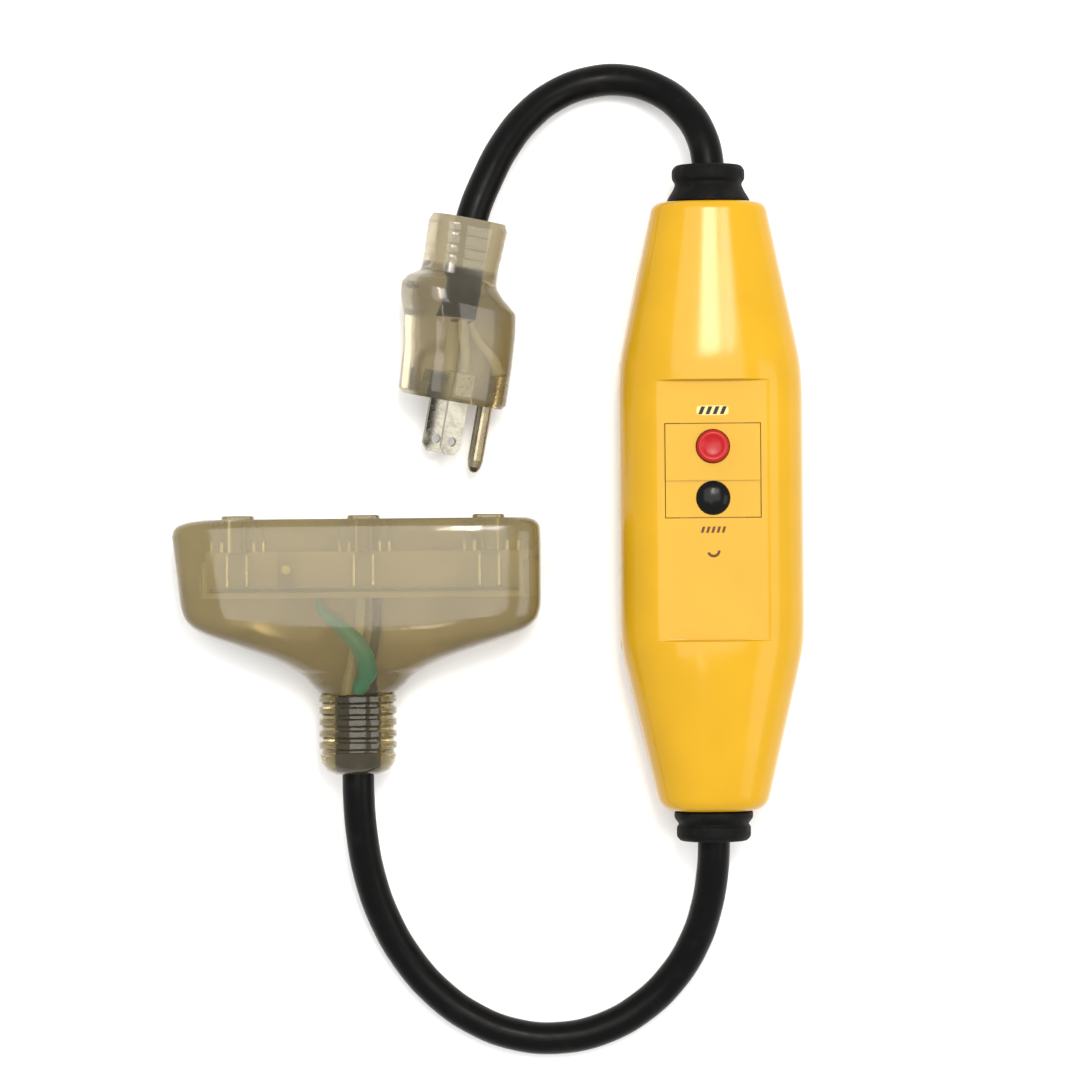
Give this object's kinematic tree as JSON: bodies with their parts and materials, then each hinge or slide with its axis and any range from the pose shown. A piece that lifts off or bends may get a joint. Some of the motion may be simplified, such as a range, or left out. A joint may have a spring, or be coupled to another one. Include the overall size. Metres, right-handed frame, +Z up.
{
  "type": "in-line ground-fault cord set",
  "caption": "Crowned two-shell housing with a reset and a test button, a short cord to a three-pin plug and a longer cord to a clear three-outlet tap",
  "frame": {"origin": "on the floor under the middle of the yellow housing, which rests on its flat back", "axes": "+Z up out of the button face, +Y along the housing towards the plug cord, +X across it to the right with the plug cord up"},
  "size_m": [0.1956, 0.3097, 0.04],
  "materials": {
    "housing_yellow": "satin moulded yellow",
    "red_plastic": "moulded red",
    "black_plastic": "moulded black",
    "white_plastic": "moulded natural",
    "blue_plastic": "epoxy coated",
    "clear_vinyl": "smoky clear moulded vinyl",
    "lamp": "clear yellow lens",
    "board": "solder masked laminate",
    "rubber": "black vinyl jacket",
    "black_wire": "insulated conductor",
    "white_wire": "insulated conductor",
    "green_wire": "insulated conductor",
    "steel": "zinc plated",
    "nickel": "nickel plated",
    "brass": "bare brass",
    "copper": "copper alloy"
  },
  "bodies": {
    "housing": {"front_shell": "housing_yellow", "rear_shell": "housing_yellow", "button_plate": "housing_yellow", "housing_screw_1": "steel", "housing_screw_2": "steel", "housing_screw_3": "steel", "housing_screw_4": "steel", "plug_end_grommet": "rubber", "tap_end_grommet": "rubber", "trip_frame": "black_plastic", "fixed_contact_hot": "brass", "fixed_contact_neutral": "brass", "solenoid_frame": "steel", "solenoid_coil": "copper", "test_leaf_post": "brass", "test_leaf": "brass", "circuit_board": "board", "sense_transformer": "blue_plastic", "neutral_transformer": "blue_plastic", "film_capacitor": "red_plastic", "varistor": "blue_plastic", "rectifier": "black_plastic", "control_chip": "black_plastic", "dropping_resistor": "white_plastic", "line_hot_wire": "black_wire", "line_neutral_wire": "white_wire", "load_hot_wire": "black_wire", "load_neutral_wire": "white_wire", "through_ground_wire": "green_wire", "plug_body": "clear_vinyl", "plug_hot_blade": "nickel", "plug_neutral_blade": "nickel", "plug_ground_pin": "brass", "plug_hot_wire": "black_wire", "plug_neutral_wire": "white_wire", "plug_ground_wire": "green_wire", "tap_body": "clear_vinyl", "tap_carrier": "white_plastic", "tap_hot_bar": "brass", "tap_neutral_bar": "brass", "tap_ground_bar": "brass", "indicator_lamp": "lamp", "tap_hot_wire": "black_wire", "tap_neutral_wire": "white_wire", "tap_ground_wire": "green_wire", "plug_cord": "rubber", "tap_cord": "rubber", "reset_spring": "steel", "test_spring": "steel"},
    "reset": {"reset_button": "red_plastic"},
    "test": {"test_button": "black_plastic"},
    "plunger": {"solenoid_plunger": "steel"},
    "latch": {"latch_plate": "steel"},
    "carrier": {"contact_carrier": "white_plastic", "moving_contact_hot": "copper", "moving_contact_neutral": "copper"}
  },
  "joints": [
    {"name": "reset_press", "type": "slide", "parent": "housing", "child": "reset", "axis": [0, 0, -1], "range_m": [0, 0.0022], "stiffness_N_per_m": 600, "deforming": ["reset_spring"]},
    {"name": "test_press", "type": "slide", "parent": "housing", "child": "test", "axis": [0, 0, -1], "range_m": [0, 0.0015], "stiffness_N_per_m": 600, "deforming": ["test_spring"]},
    {"name": "plunger_strike", "type": "slide", "parent": "housing", "child": "plunger", "axis": [0, -1, 0], "range_m": [0, 0.003]},
    {"name": "latch_slide", "type": "slide", "parent": "housing", "child": "latch", "axis": [0, -1, 0], "range_m": [0, 0.003]},
    {"name": "carrier_drop", "type": "slide", "parent": "housing", "child": "carrier", "axis": [0, 0, -1], "range_m": [0, 0.002]}
  ],
  "couplings": [
    {"joint": "latch_slide", "follows": "plunger_strike", "ratio": 1}
  ]
}
